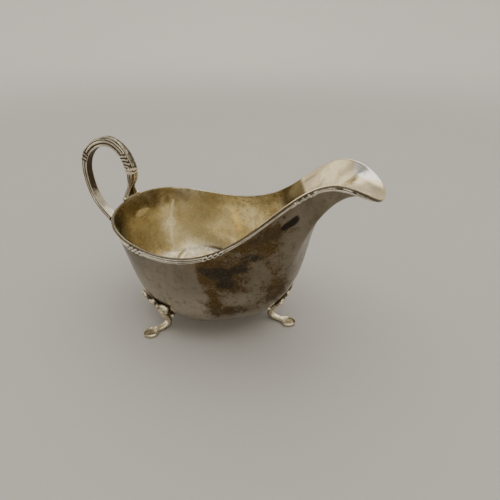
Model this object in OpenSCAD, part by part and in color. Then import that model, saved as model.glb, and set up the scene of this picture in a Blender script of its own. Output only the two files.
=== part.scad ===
// Footed sauce boat with a looped handle: raised bowl, applied rim border, cast handle,
// and three scroll feet, each springing from a shell. Sizes are in millimetres.
// +X runs towards the pouring lip, +Z is up, and the table is at Z = 0.

/* [Rim] */
// Distance from the origin back to the rim, behind the bowl
rim_back = 63.6; // [54:0.1:76]
// Height of the rim at the back
rim_back_high = 73; // [62:0.1:86]
// Greatest width over the rim
rim_wide = 96; // [80:0.1:112]
// Where along the length the rim is widest
rim_wide_at = -0.5; // [-12:0.1:10]
// Height of the rim where it is widest
rim_waist_high = 66; // [56:0.1:78]
// Where along the length the spout's edges are highest
crest_at = 83.7; // [74:0.1:92]
// Width across the spout at its crest
crest_wide = 41; // [32:0.1:50]
// Height of the spout's crest
crest_high = 111; // [96:0.1:128]
// Distance from the origin forward to the tip of the lip
lip_reach = 101.8; // [96:0.1:122]
// Height of the tip of the lip, where it curls down
lip_high = 101; // [86:0.1:116]

/* [Bowl] */
// Thickness of the raised sheet
sheet = 1.1; // [0.8:0.05:1.6]
// Height of the bowl's underside above the table
bottom_high = 8.5; // [6:0.1:13]
// Where along the length the bowl is deepest
bottom_at = 5.2; // [-4:0.1:14]
// How far the flat of the bottom reaches behind its deepest place
floor_back = 58.2; // [52:0.1:70]
// How far the flat of the bottom reaches to each side
floor_side = 57.6; // [48:0.1:64]
// How far the flat of the bottom reaches in front of its deepest place
floor_front = 64.6; // [52:0.1:72]
// How far the bilge stands in from the rim, behind and at each side
bilge_in = [5.7, 7.2];
// Height of the bilge, as a share of the rim's height over the bottom
bilge_up = [0.229, 0.323];
// How far the upper wall stands in from the rim, behind and at each side
upper_in = [6.7, -1.3];
// Height of the upper wall, as a share of the rim's height over the bottom
upper_up = [0.535, 0.522];
// Front corner of the bilge: along, to the side, and up
bilge_corner = [39.1, 29.6, 27.8];
// Front corner of the upper wall, under the spout: along, to the side, and up
upper_corner = [62.5, 16.8, 90.5];
// Front of the bilge on the centre line: along and up
bilge_front = [72.5, 46];
// Throat under the lip on the centre line: along and up
throat_front = [45.7, 120.3];

/* [Rim border] */
// Height of the reeded border on the outside of the rim
border_high = 2.9; // [2.2:0.1:4]
// How far the border stands out from the wall
border_out = 1.4; // [1:0.1:2.4]
// Number of reeds across the border
border_reeds = 3; // [2:1:4]

/* [Handle] */
// Width of the handle's strap
strap_wide = 5.9; // [5:0.1:8]
// Thickness of the strap at the top of the loop
top_thick = 5.9; // [4.8:0.1:7]
// Thickness of the strap down the back of the loop
strap_thick = 4.7; // [4:0.1:6]
// Thickness of the strap at the collar over the rim
collar_thick = 6.8; // [5.6:0.1:8]
// Distance from the origin back to the outside of the loop
loop_reach = 101.8; // [90:0.1:116]
// Height of the top of the loop
loop_high = 114; // [102:0.1:128]
// How far the top of the loop lies behind the origin
loop_top_at = 74.5; // [68:0.1:84]
// Height of the widest part of the loop
loop_side_high = 86; // [78:0.1:96]
// Height at which the lower end of the handle meets the bowl
loop_end_high = 33.6; // [28:0.1:42]
// Height of the forked root, from the rim to the collar
root_high = 20; // [16:0.1:24]
// How far the collar leans forward of the rim
root_lean = 4.4; // [2:0.1:8]
// Width of the forked root on the rim
root_wide = 15; // [12:0.1:19]
// Width of the root at its neck
neck_wide = 4.6; // [3.6:0.1:5.6]
// Thickness of the root on the rim
root_thick = 2.6; // [2:0.1:3.2]

/* [Feet] */
// Angle of each rear foot from the front one, about the feet's centre
foot_turn = 120; // [105:1:130]
// Where along the length the feet's centre lies
foot_mid = 2.7; // [-5:0.1:8]
// Height of the shell's centre, where the leg springs from it
shell_high = 19; // [16:0.1:23]
// Reach of the shell's two long lobes from its centre
shell_reach = 15.5; // [12:0.1:18]
// Thickness of the shell at its centre
shell_thick = 3.2; // [2.4:0.1:4]
// How far the shell's lobes stand off the bowl at their tips
lobe_lift = 1.2; // [0.4:0.1:2]
// How far the leg's knee stands out from the shell
leg_knee = 2.8; // [1.5:0.1:4]
// How far the leg curls in from the shell, at its middle
leg_in = 1.6; // [0.8:0.1:3]
// Width of the leg
leg_wide = 4.4; // [3.6:0.1:5.5]
// Thickness of the leg
leg_thick = 3; // [2.4:0.1:3.8]
// How far the middle of the pad lies out from the shell
pad_out = 9.6; // [8:0.1:11]
// Length of the oval pad beyond its middle
pad_half = 5.8; // [4.6:0.1:7]
// Width of the pad
pad_wide = 9.4; // [7.6:0.1:11.5]
// Thickness of the pad
pad_thick = 1.9; // [1.5:0.1:2.5]

/* [Hidden] */
// Solder gap left between two pieces that are joined
solder = 0.15;
// Stations along the three stretches of each half of the rim, and rows up the wall
stations = [10, 12, 10];
rows = 18;
loop_steps = 40;

// ---------- curves ----------
function flip(p) = [p.x, -p.y, p.z];
function unit(a) = a / norm(a);
function mix(a, b, u) = a + (b - a) * u;
function ease(u) = let (c = max(0, min(1, u))) c * c * (3 - 2 * c);
function bezier(p, u) =
    p[0] * pow(1 - u, 3) + p[1] * 3 * u * pow(1 - u, 2) + p[2] * 3 * u * u * (1 - u) + p[3] * u * u * u;

// One half of a level line of the bowl, as three curves that join smoothly:
// back to widest, widest to the front corner, and corner to the front.
// full holds the six handle lengths and the slope at the widest place, and lead the direction
// at the corner.
function level(back, wide, corner, front, lead, full) =
    let (d = unit(lead), far = norm(corner - wide), near = norm(front - corner))
    [[back, back + [0, full[0] * wide.y, 0], wide - [1, 0, full[6]] * full[1] * (wide.x - back.x), wide],
     [wide, wide + [1, 0, full[6]] * full[2] * (corner.x - wide.x),
      corner - d * full[3] * far, corner],
     [corner, corner + d * full[4] * near, front + [0, full[5] * corner.y, 0], front]];

low_full = [0.56, 0.56, 0.36, 0.2, 0.3, 0.5, 0];
rim_line = level([-rim_back, 0, rim_back_high], [rim_wide_at, rim_wide / 2, rim_waist_high],
    [crest_at, crest_wide / 2, crest_high], [lip_reach, 0, lip_high],
    [1, -0.3, -0.16], [0.92, 0.41, 0.56, 0.26, 0.33, 0.64, 0.12]);
upper_line = level(
    [-rim_back + upper_in[0], 0, mix(bottom_high, rim_back_high, upper_up[0])],
    [rim_wide_at - 0.6, rim_wide / 2 - upper_in[1], mix(bottom_high, rim_waist_high, upper_up[1])],
    upper_corner, [throat_front[0], 0, throat_front[1]],
    [1, -0.8, 0], [0.56, 0.56, 0.45, 0.25, 0.3, 0.5, 0]);
bilge_line = level(
    [-rim_back + bilge_in[0], 0, mix(bottom_high, rim_back_high, bilge_up[0])],
    [rim_wide_at - 1.1, rim_wide / 2 - bilge_in[1], mix(bottom_high, rim_waist_high, bilge_up[1])],
    bilge_corner, [bilge_front[0], 0, bilge_front[1]], [1, -0.95, 0], low_full);
floor_line = level(
    [bottom_at - floor_back, 0, bottom_high], [bottom_at, floor_side, bottom_high],
    [bottom_at + 0.72 * floor_front, 0.69 * floor_side, bottom_high],
    [bottom_at + floor_front, 0, bottom_high], [1, -0.95 * floor_side / floor_front, 0], low_full);
bottom = [bottom_at, 0, bottom_high];

// t runs 0 to 3 from the back to the lip on the left, and on to 6 back along the right.
function along(line, t) =
    let (left = t > 3 ? 6 - t : (t < 0 ? -t : t), k = min(2, floor(left)), p = bezier(line[k], left - k))
    (t > 3 || t < 0) ? flip(p) : p;

// A point of the bowl's outer skin: v runs 0 to 1 from the bottom to the rim.
function skin(t, v) =
    let (w = 1 - v)
    bottom * pow(w, 4) + along(floor_line, t) * 4 * v * pow(w, 3)
    + along(bilge_line, t) * 6 * v * v * w * w + along(upper_line, t) * 4 * pow(v, 3) * w
    + along(rim_line, t) * pow(v, 4);

// Small step used to measure the skin's slope
tiny = 0.002;
function across_skin(t, v) = (skin(t + tiny, v) - skin(t - tiny, v)) / (2 * tiny);
function up_skin(t, v) = let (a = max(0.001, v - tiny), b = min(1, v + tiny))
    (skin(t, b) - skin(t, a)) / (b - a);
// Outward direction of the skin
function out(t, v) = v < 0.01 ? [0, 0, -1] : unit(cross(up_skin(t, v), across_skin(t, v)));

// The place on the skin that lies side mm across and up mm high, seen along the level
// direction ax. It starts from a guess and closes in on the place.
function find(side_way, mid, side, up, t, v, n) =
    let (p = skin(t, v), a = across_skin(t, v), b = up_skin(t, v),
         e = [side - (p - mid) * side_way, up - p.z],
         m = [a * side_way, b * side_way, a.z, b.z], det = m[0] * m[3] - m[1] * m[2],
         dt = (e[0] * m[3] - e[1] * m[1]) / det, dv = (m[0] * e[1] - m[2] * e[0]) / det)
    n == 0 ? [t, v] : find(side_way, mid, side, up, t + max(-0.3, min(0.3, dt)),
        max(0.05, min(0.99, v + max(-0.15, min(0.15, dv)))), n - 1);
function on_skin(tv, off) = skin(tv[0], tv[1]) + out(tv[0], tv[1]) * off;

// ---------- solids from rings ----------
// rings is a list of closed rings with the same number of points; each end is closed by a fan.
function centre(ring) = [for (k = [0:2]) [for (p = ring) p[k]] * [for (p = ring) 1] / len(ring)];
module skin_over(rings) {
    n = len(rings[0]);
    m = len(rings);
    points = concat([for (ring = rings) each ring], [centre(rings[0]), centre(rings[m - 1])]);
    sides = [for (i = [0:m - 2], j = [0:n - 1])
        let (a = i * n + j, b = i * n + (j + 1) % n)
        each [[a, a + n, b + n], [a, b + n, b]]];
    ends = [for (j = [0:n - 1]) each
        [[m * n, j, (j + 1) % n], [m * n + 1, (m - 1) * n + (j + 1) % n, (m - 1) * n + j]]];
    polyhedron(points, concat(sides, ends), convexity = 8);
}

// ---------- bowl ----------
half_ts = [for (k = [0:2], i = [0:stations[k] - 1]) k + i / stations[k]];
all_ts = concat(half_ts, [3], [for (i = [len(half_ts) - 1:-1:1]) 6 - half_ts[i]]);

module bowl() color([0.72, 0.71, 0.68]) {
    n = len(all_ts);
    vs = [for (i = [1:rows]) i / rows];
    outer = [for (v = vs) each [for (t = all_ts) skin(t, v)]];
    inner = [for (v = vs) each [for (t = all_ts) skin(t, v) - out(t, v) * sheet]];
    points = concat(outer, inner, [bottom, bottom + [0, 0, sheet]]);
    k = rows * n;
    // the squares are cut along mirrored corners on the left and the right
    outside = [for (i = [0:rows - 2], j = [0:n - 1])
        let (a = i * n + j, b = i * n + (j + 1) % n)
        each j < n / 2 ? [[a, b, a + n], [b, b + n, a + n]] : [[a, b + n, a + n], [a, b, b + n]]];
    inside = [for (f = outside) [f[0] + k, f[2] + k, f[1] + k]];
    edge = [for (j = [0:n - 1])
        let (a = k - n + j, b = k - n + (j + 1) % n)
        each [[a, b + k, a + k], [a, b, b + k]]];
    under = [for (j = [0:n - 1]) let (b = (j + 1) % n) each
        [[2 * k, b, j], [2 * k + 1, k + j, k + b]]];
    polyhedron(points, concat(outside, inside, edge, under), convexity = 8);
}

// ---------- rim border ----------
// Section of the border: [out from the wall, down from the edge], with one bulge for each reed.
border_section = concat([[solder, 0]],
    [for (r = [0:border_reeds - 1], i = [0:3])
        let (u = (r + i / 4) / border_reeds, bulge = sin(180 * i / 4))
        [border_out * (0.62 + 0.38 * bulge) * (0.75 + 0.25 * sin(180 * u)), border_high * u]],
    [[border_out * 0.5, border_high], [solder, border_high]]);
// It lies flat on the top row of the bowl's wall.
function border_ring(t) =
    let (p = skin(t, 1), d = unit(skin(t, 1 - 1 / rows) - p), n = unit(cross(across_skin(t, 1), d)))
    [for (s = border_section) p + n * s[0] + d * s[1]];
module rim_border() {
    ts = concat([3], [for (i = [len(half_ts) - 1:-1:0]) half_ts[i]]);
    skin_over([for (t = ts) [for (p = border_ring(t))
        [p.x, (t == 0 || t == 3) ? solder / 2 : max(p.y, solder / 2), p.z]]]);
}
module rim_border_left() color([0.8, 0.79, 0.75]) rim_border();
module rim_border_right() color([0.8, 0.79, 0.75]) mirror([0, 1, 0]) rim_border();

// ---------- handle ----------
seat = [-rim_back - border_out / 2 + 0.2, 0, rim_back_high + solder];
collar = [-rim_back + root_lean, 0, seat.z + root_high];
loop_top = [-loop_top_at, 0, loop_high - top_thick / 2];
loop_side = [-loop_reach + strap_thick / 2, 0, loop_side_high];
end_tv = find([0, 1, 0], [0, 0, 0], 0, loop_end_high, 0, 0.6, 8);
loop_end = on_skin(end_tv, solder);
end_way = unit([0.8, 0, -0.6]);
loop_line = [
    [collar, collar + [-0.5, 0, 0.53 * (loop_top.z - collar.z)],
     loop_top + [0.53 * (collar.x - loop_top.x), 0, 0], loop_top],
    [loop_top, loop_top - [0.54 * (loop_top.x - loop_side.x), 0, 0],
     loop_side + [0, 0, 0.57 * (loop_top.z - loop_side.z)], loop_side],
    [loop_side, loop_side - [0, 0, 0.55 * (loop_side.z - loop_end.z)],
     loop_end - end_way * 0.62 * (loop_side.z - loop_end.z), loop_end]];
function loop_at(u) = let (k = min(2, floor(u))) bezier(loop_line[k], u - k);
function loop_way(u) = unit(loop_at(min(3, u + 0.01)) - loop_at(max(0, u - 0.01)));
function loop_thick(u) =
    u < 1 ? mix(collar_thick, top_thick, u) : mix(top_thick, strap_thick, ease(u - 1));

// Strap section: [across, out]: flat on the inside of the loop and rounded on the outside.
strap_section = [[-0.5, -0.5], [-0.5, 0], [-0.46, 0.22], [-0.36, 0.38], [-0.2, 0.47], [0, 0.5],
    [0.2, 0.47], [0.36, 0.38], [0.46, 0.22], [0.5, 0], [0.5, -0.5], [0, -0.5]];
function strap_ring(u) =
    let (p = loop_at(u), w = u == 0 ? [0, 0, 1] : loop_way(u), o = [w.z, 0, -w.x])
    [for (s = strap_section) p + [0, s[0] * strap_wide, 0] + o * s[1] * loop_thick(u)];
// The lower end is shaped to the wall that it is soldered to.
function end_ring() =
    [for (s = strap_section)
        let (tv = find([0, 1, 0], [0, 0, 0], s[0] * strap_wide, loop_end_high - s[1] * strap_thick / 0.8,
            s[0] * 0.1, 0.6, 8))
        on_skin(tv, solder)];
module handle_loop() color([0.76, 0.74, 0.69])
    skin_over(concat([for (i = [0:loop_steps - 2]) strap_ring(3 * i / loop_steps)], [end_ring()]));

// Root: a plate that stands on the rim, with two raised legs and a thin web between them,
// drawn in to a neck under the collar.
root_line = [seat, seat + [0.5, 0, 0.45 * root_high], collar - [0.6, 0, 0.5 * root_high],
    collar - [0, 0, solder]];
function root_half(u) =
    u < 0.62 ? mix(root_wide / 2, neck_wide / 2, sin(90 * u / 0.62))
             : mix(neck_wide / 2, strap_wide / 2, ease((u - 0.62) / 0.3));
function root_depth(u) = mix(root_thick, collar_thick, ease((u - 0.3) / 0.6));
root_steps = 16;
function root_ring(u) =
    let (p = bezier(root_line, u), w = root_half(u), d = root_depth(u) / 2)
    [for (i = [0:19])
        let (a = i < 10 ? mix(-1, 1, i / 9) : mix(1, -1, (i - 10) / 9),
             side = i < 10 ? 1 : -1,
             web = mix(mix(0.45, 1, pow(abs(a), 3)), 1, ease((u - 0.5) / 0.3)),
             corner = (abs(a) > 0.99) ? 0.55 : 1,
             bow = rim_back_bow(a * w))
        [p.x + bow * (1 - u) + side * d * web * corner, a * w, p.z]];
// How far the back of the rim curves forward at a distance y from the centre line
function rim_back_bow(y) =
    let (tv = find([0, 1, 0], [0, 0, 0], y, rim_back_high - 2, y * 0.012, 0.97, 6))
    skin(tv[0], tv[1]).x - skin(0, tv[1]).x;
module handle_root() color([0.7, 0.68, 0.62])
    skin_over([for (i = [0:root_steps]) root_ring(i / root_steps)]);

// ---------- feet ----------
// Each foot has its own level directions: out from the feet's centre, and to the side.
function foot_out(turn) = [cos(turn), sin(turn), 0];
function foot_side(turn) = [-sin(turn), cos(turn), 0];
foot_centre = [foot_mid, 0, 0];
function foot_guess(turn) = turn == 0 ? 3 : (turn > 0 ? 0.8 : 5.2);
function shell_tv(turn, s, z) = find(foot_side(turn), foot_centre, s, z, foot_guess(turn), 0.38, 9);

// Outline of the shell: its reach at each angle from straight up.
lobes = [[0, 0.6], [26, 0.52], [54, 1], [82, 0.5], [104, 0.6], [140, 0.34], [180, 0.3]];
function reach(a) = shell_reach * lookup(a > 180 ? 360 - a : a, lobes);
shell_rays = 40;
module shell(turn) {
    function place(a, k, off) =
        let (r = reach(a) * k) on_skin(shell_tv(turn, r * sin(a), shell_high + r * cos(a) * 0.9), off);
    // rings from the middle of the back, out round the edge, and in to the middle of the front
    rings = [[0.1, solder], [0.33, solder], [0.66, solder + lobe_lift * 0.15], [1, solder + lobe_lift],
             [0.97, shell_thick * 0.85], [0.8, shell_thick], [0.45, shell_thick], [0.1, shell_thick]];
    skin_over([for (r = rings)
        [for (i = [0:shell_rays - 1]) place(360 - i * 360 / shell_rays, r[0], r[1])]]);
}

// Leg: it springs from the shell, curls in and down, and runs out into a dished pad.
leg_steps = 16;
pad_steps = 10;
leg_section = [[-0.5, -0.25], [-0.42, -0.5], [0, -0.5], [0.42, -0.5], [0.5, -0.25], [0.5, 0.3],
    [0.4, 0.5], [0.2, 0.42], [0, 0.38], [-0.2, 0.42], [-0.4, 0.5], [-0.5, 0.3]];
module leg(turn) {
    o = foot_out(turn);
    s = foot_side(turn);
    up = [0, 0, 1];
    top_tv = shell_tv(turn, 0, shell_high - 1.2);
    face = on_skin(top_tv, shell_thick + solder);
    start = (face - foot_centre) * o;
    bend = start - leg_in;
    mid = start + pad_out;
    pad_z = pad_thick / 2;
    // the leg's line in two curves, as [distance out, height]: down to the bend, then out to the pad
    low = face.z * 0.38;
    neck = mid - 4.2;
    curl = [[start, face.z], [start + leg_knee * 1.5, face.z - 1.5], [bend, low + 5], [bend, low]];
    sweep = [[bend, low], [bend, pad_z + 1.6], [bend + 1.8, pad_z], [neck, pad_z]];
    function place(q) = foot_centre + o * q[0] + up * q[1];
    function ring(q, way, wide, thick) =
        let (n = [-way[1], way[0]])
        [for (c = leg_section) foot_centre + o * (q[0] + n[0] * c[1] * thick)
            + up * (q[1] + n[1] * c[1] * thick) + s * c[0] * wide];
    function way(p, u) = unit(bezier(p, min(1, u + 0.02)) - bezier(p, max(0, u - 0.02)));
    face_ring = [for (c = leg_section)
        on_skin(shell_tv(turn, c[0] * leg_wide, face.z + c[1] * leg_thick * 0.8), shell_thick + solder)];
    half = leg_steps / 2;
    upper = [for (i = [1:half]) let (u = i / half)
        ring(bezier(curl, u), way(curl, u), leg_wide, leg_thick)];
    lower = [for (i = [1:half]) let (u = i / half)
        ring(bezier(sweep, u), way(sweep, u), leg_wide * mix(1, 1.15, u),
            mix(leg_thick, pad_thick, ease(u)))];
    pad = [for (i = [1:pad_steps])
        let (u = i / pad_steps, far = mix(neck, mid + pad_half * 0.995, 1 - pow(1 - u, 1.4)),
             oval = far < mid ? mix(leg_wide * 1.15, pad_wide, ease((far - neck) / (mid - neck)))
                  : pad_wide * sqrt(max(0, 1 - pow((far - mid) / pad_half, 2))))
        ring([far, pad_z], [1, 0], oval, pad_thick)];
    skin_over(concat([face_ring], upper, lower, pad));
}

module leg_front() color([0.75, 0.73, 0.66]) leg(0);
module leg_rear_left() color([0.75, 0.73, 0.66]) leg(foot_turn);
module leg_rear_right() color([0.75, 0.73, 0.66]) leg(-foot_turn);
module shell_front() color([0.82, 0.8, 0.72]) shell(0);
module shell_rear_left() color([0.82, 0.8, 0.72]) shell(foot_turn);
module shell_rear_right() color([0.82, 0.8, 0.72]) shell(-foot_turn);

bowl();
rim_border_left();
rim_border_right();
handle_loop();
handle_root();
leg_front();
leg_rear_left();
leg_rear_right();
shell_front();
shell_rear_left();
shell_rear_right();
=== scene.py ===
import math
import bpy
import numpy as np
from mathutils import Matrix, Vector


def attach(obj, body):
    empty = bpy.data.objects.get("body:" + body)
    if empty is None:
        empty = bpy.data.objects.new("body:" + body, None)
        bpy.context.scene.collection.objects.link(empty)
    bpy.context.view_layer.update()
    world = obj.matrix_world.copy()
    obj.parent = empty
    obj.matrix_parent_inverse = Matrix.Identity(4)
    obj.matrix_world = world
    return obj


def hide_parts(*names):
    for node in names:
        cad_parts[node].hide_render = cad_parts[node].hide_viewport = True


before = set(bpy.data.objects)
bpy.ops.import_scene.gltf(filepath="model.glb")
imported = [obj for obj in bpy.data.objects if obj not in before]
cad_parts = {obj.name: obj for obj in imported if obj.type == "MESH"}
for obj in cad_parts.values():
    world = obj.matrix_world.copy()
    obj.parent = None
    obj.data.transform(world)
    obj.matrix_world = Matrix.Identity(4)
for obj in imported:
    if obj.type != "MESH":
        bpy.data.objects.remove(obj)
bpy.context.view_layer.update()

MM = 0.001

# ---------------------------------------------------------------- sizes, in millimetres
# rim, from the handle's end to the crests beside the lip and the tip of the lip
RIM_BACK, RIM_BACK_HIGH = 63.6, 73.0
RIM_WIDE, RIM_WIDE_AT, RIM_WAIST = 96.0, -0.5, 66.0
CREST_AT, CREST_WIDE, CREST_HIGH = 83.7, 41.0, 111.0
LIP_REACH, LIP_HIGH = 101.8, 101.0
# sheet and bottom of the bowl, and the border along the rim
SHEET, BOTTOM_HIGH, BOTTOM_AT = 1.1, 8.5, 5.2
FLOOR_BACK, FLOOR_SIDE, FLOOR_FRONT = 58.2, 57.6, 64.6
BORDER_HIGH, BORDER_OUT = 2.9, 1.4
# strap of the handle and the forked root under it
STRAP_WIDE, TOP_THICK, STRAP_THICK, COLLAR_THICK = 5.9, 5.9, 4.7, 6.8
LOOP_REACH, LOOP_HIGH, LOOP_TOP_AT = 101.8, 114.0, 74.5
LOOP_SIDE_HIGH, LOOP_END_HIGH = 86.0, 33.6
ROOT_HIGH, ROOT_LEAN, ROOT_WIDE, NECK_WIDE, ROOT_THICK = 20.0, 4.4, 15.0, 4.6, 2.6
# feet: turned about a point at x = FOOT_MID, with shells, legs and pads
FOOT_TURN, FOOT_MID = 120.0, 2.7
SHELL_HIGH, SHELL_REACH, SHELL_THICK, LOBE_LIFT = 19.0, 15.5, 3.2, 0.6
LEG_KNEE, LEG_IN, LEG_WIDE, LEG_THICK, LEG_NECK = 2.8, 2.7, 4.9, 3.5, 4.0
PAD_OUT, PAD_HALF, PAD_WIDE, PAD_THICK = 9.6, 5.8, 9.4, 1.9
# gap of solder between the bowl and what is fixed to it
SOLDER = 0.15


# ---------------------------------------------------------------- curves and the bowl's skin
def mix(a, b, u):
    return a + (b - a) * u


def ease(u):
    """0 to 1 with soft ends, as u runs from 0 to 1."""
    u = np.clip(u, 0, 1)
    return u * u * (3 - 2 * u)


def unit(a):
    return a / np.maximum(1e-9, np.linalg.norm(a, axis=-1, keepdims=True))


def bump(x, wide=1.0):
    """A smooth hump that is 1 at x = 0 and 0 beyond wide."""
    return ease(1 - np.abs(x) / wide)


def level(back, wide, corner, front, lead, full):
    """Half of a level line of the bowl, as three cubic curves that join smoothly.

    lead is the way the line runs at its corner. full holds how far each handle of the curves reaches,
    as a share of the way along, and last the slope of the line at its widest place.
    """
    back, wide, corner, front = (np.array(p, float) for p in (back, wide, corner, front))
    way = unit(np.array(lead, float))
    far, near = np.linalg.norm(corner - wide), np.linalg.norm(front - corner)
    slope = np.array([1, 0, full[6]])
    return np.array([
        [back, back + [0, full[0] * wide[1], 0],
         wide - slope * full[1] * (wide[0] - back[0]), wide],
        [wide, wide + slope * full[2] * (corner[0] - wide[0]), corner - way * full[3] * far, corner],
        [corner, corner + way * full[4] * near, front + [0, full[5] * corner[1], 0], front]])


LOW_FULL = (0.56, 0.56, 0.36, 0.2, 0.3, 0.5, 0)
RIM = level((-RIM_BACK, 0, RIM_BACK_HIGH), (RIM_WIDE_AT, RIM_WIDE / 2, RIM_WAIST),
            (CREST_AT, CREST_WIDE / 2, CREST_HIGH), (LIP_REACH, 0, LIP_HIGH),
            (1, -0.3, -0.16), (0.92, 0.41, 0.56, 0.26, 0.33, 0.64, 0.12))
UPPER = level((-RIM_BACK + 6.7, 0, mix(BOTTOM_HIGH, RIM_BACK_HIGH, 0.535)),
              (RIM_WIDE_AT - 0.6, RIM_WIDE / 2 + 1.3, mix(BOTTOM_HIGH, RIM_WAIST, 0.522)),
              (62.5, 16.8, 90.5), (45.7, 0, 120.3), (1, -0.8, 0), (0.56, 0.56, 0.45, 0.25, 0.3, 0.5, 0))
BILGE = level((-RIM_BACK + 5.7, 0, mix(BOTTOM_HIGH, RIM_BACK_HIGH, 0.229)),
              (RIM_WIDE_AT - 1.1, RIM_WIDE / 2 - 7.2, mix(BOTTOM_HIGH, RIM_WAIST, 0.323)),
              (39.1, 29.6, 27.8), (72.5, 0, 46), (1, -0.95, 0), LOW_FULL)
FLOOR = level((BOTTOM_AT - FLOOR_BACK, 0, BOTTOM_HIGH), (BOTTOM_AT, FLOOR_SIDE, BOTTOM_HIGH),
              (BOTTOM_AT + 0.72 * FLOOR_FRONT, 0.69 * FLOOR_SIDE, BOTTOM_HIGH),
              (BOTTOM_AT + FLOOR_FRONT, 0, BOTTOM_HIGH), (1, -0.95 * FLOOR_SIDE / FLOOR_FRONT, 0), LOW_FULL)
BOTTOM = np.array([BOTTOM_AT, 0, BOTTOM_HIGH])


def bezier(p, u):
    """Points on cubic curves whose four control points are p[..., 0, :] to p[..., 3, :]."""
    u = np.asarray(u, float)[..., None]
    return (p[..., 0, :] * (1 - u) ** 3 + p[..., 1, :] * 3 * u * (1 - u) ** 2
            + p[..., 2, :] * 3 * u * u * (1 - u) + p[..., 3, :] * u ** 3)


def along(line, t):
    """t runs 0 to 3 from the back to the lip on the left, and on to 6 back along the right."""
    t = np.mod(t, 6.0)
    left = np.where(t > 3, 6 - t, t)
    k = np.minimum(2, np.floor(left)).astype(int)
    p = bezier(line[k], left - k)
    p[..., 1] *= np.where(t > 3, -1, 1)
    return p


def skin(t, v):
    """A point of the bowl's outer skin: v runs 0 to 1 from the bottom to the rim."""
    t, v = np.broadcast_arrays(np.asarray(t, float), np.asarray(v, float))
    w, u = (1 - v)[..., None], v[..., None]
    return (BOTTOM * w ** 4 + along(FLOOR, t) * 4 * u * w ** 3 + along(BILGE, t) * 6 * u * u * w * w
            + along(UPPER, t) * 4 * u ** 3 * w + along(RIM, t) * u ** 4)


# step in t and v between the points that give a slope, largest moves of one try, and ends of v
TINY = 0.002
MOST_T, MOST_V = 0.3, 0.15
LOW_V, HIGH_V = 0.05, 0.99


def across_skin(t, v):
    return (skin(t + TINY, v) - skin(t - TINY, v)) / (2 * TINY)


def up_skin(t, v):
    v = np.asarray(v, float)
    a, b = np.maximum(TINY / 2, v - TINY), np.minimum(1, v + TINY)
    return (skin(t, b) - skin(t, a)) / (b - a)[..., None]


def out(t, v):
    t, v = np.broadcast_arrays(np.asarray(t, float), np.asarray(v, float))
    return np.where((v < 0.01)[..., None], np.array([0, 0, -1.0]),
                    unit(np.cross(up_skin(t, v), across_skin(t, v))))


def find(side_way, mid, side, up, t, v, tries=9):
    """The (t, v) on the skin that lies side across and up high, seen along a level direction."""
    side, up = np.broadcast_arrays(np.asarray(side, float), np.asarray(up, float))
    t, v = np.full(side.shape, float(t)), np.full(side.shape, float(v))
    for _ in range(tries):
        p, a, b = skin(t, v), across_skin(t, v), up_skin(t, v)
        e0, e1 = side - (p - mid) @ side_way, up - p[..., 2]
        m0, m1, m2, m3 = a @ side_way, b @ side_way, a[..., 2], b[..., 2]
        det = m0 * m3 - m1 * m2
        t = t + np.clip((e0 * m3 - e1 * m1) / det, -MOST_T, MOST_T)
        v = np.clip(v + np.clip((m0 * e1 - m2 * e0) / det, -MOST_V, MOST_V), LOW_V, HIGH_V)
    return t, v


FINE_TS = np.linspace(0, 3, 2001)


def lengths(p):
    """Length along a row of points, from the first to each."""
    return np.concatenate([[0], np.cumsum(np.linalg.norm(np.diff(p, axis=0), axis=1))])


def even_ts(count):
    """Values of t spaced evenly by length along the rim, with 0 and 3 among them."""
    far = lengths(along(RIM, FINE_TS))
    half = np.interp(np.linspace(0, far[-1], count + 1), far, FINE_TS)
    return np.concatenate([half, 6 - half[-2:0:-1]])


def rim_length(t):
    """Length along the rim from the back, in mm, for t from 0 to 3."""
    return np.interp(t, FINE_TS, lengths(along(RIM, FINE_TS)))


# ---------------------------------------------------------------- repeatable noise on points
def waves(p, size, seed, count=14):
    """Smooth wandering noise, about -1 to 1, on points p: size is its grain in mm."""
    rng = np.random.default_rng(seed)
    total = np.zeros(p.shape[:-1])
    for _ in range(count):
        way = unit(rng.normal(size=3)) * (2 * math.pi / size) * rng.uniform(0.6, 1.7)
        total += np.sin(p @ way + rng.uniform(0, 2 * math.pi))
    return total / math.sqrt(count / 2) / 1.6


def rough_waves(p, size, seed, octaves=4):
    return sum(waves(p, size / 2 ** k, seed + k) / 1.7 ** k for k in range(octaves)) / 1.7


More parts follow.
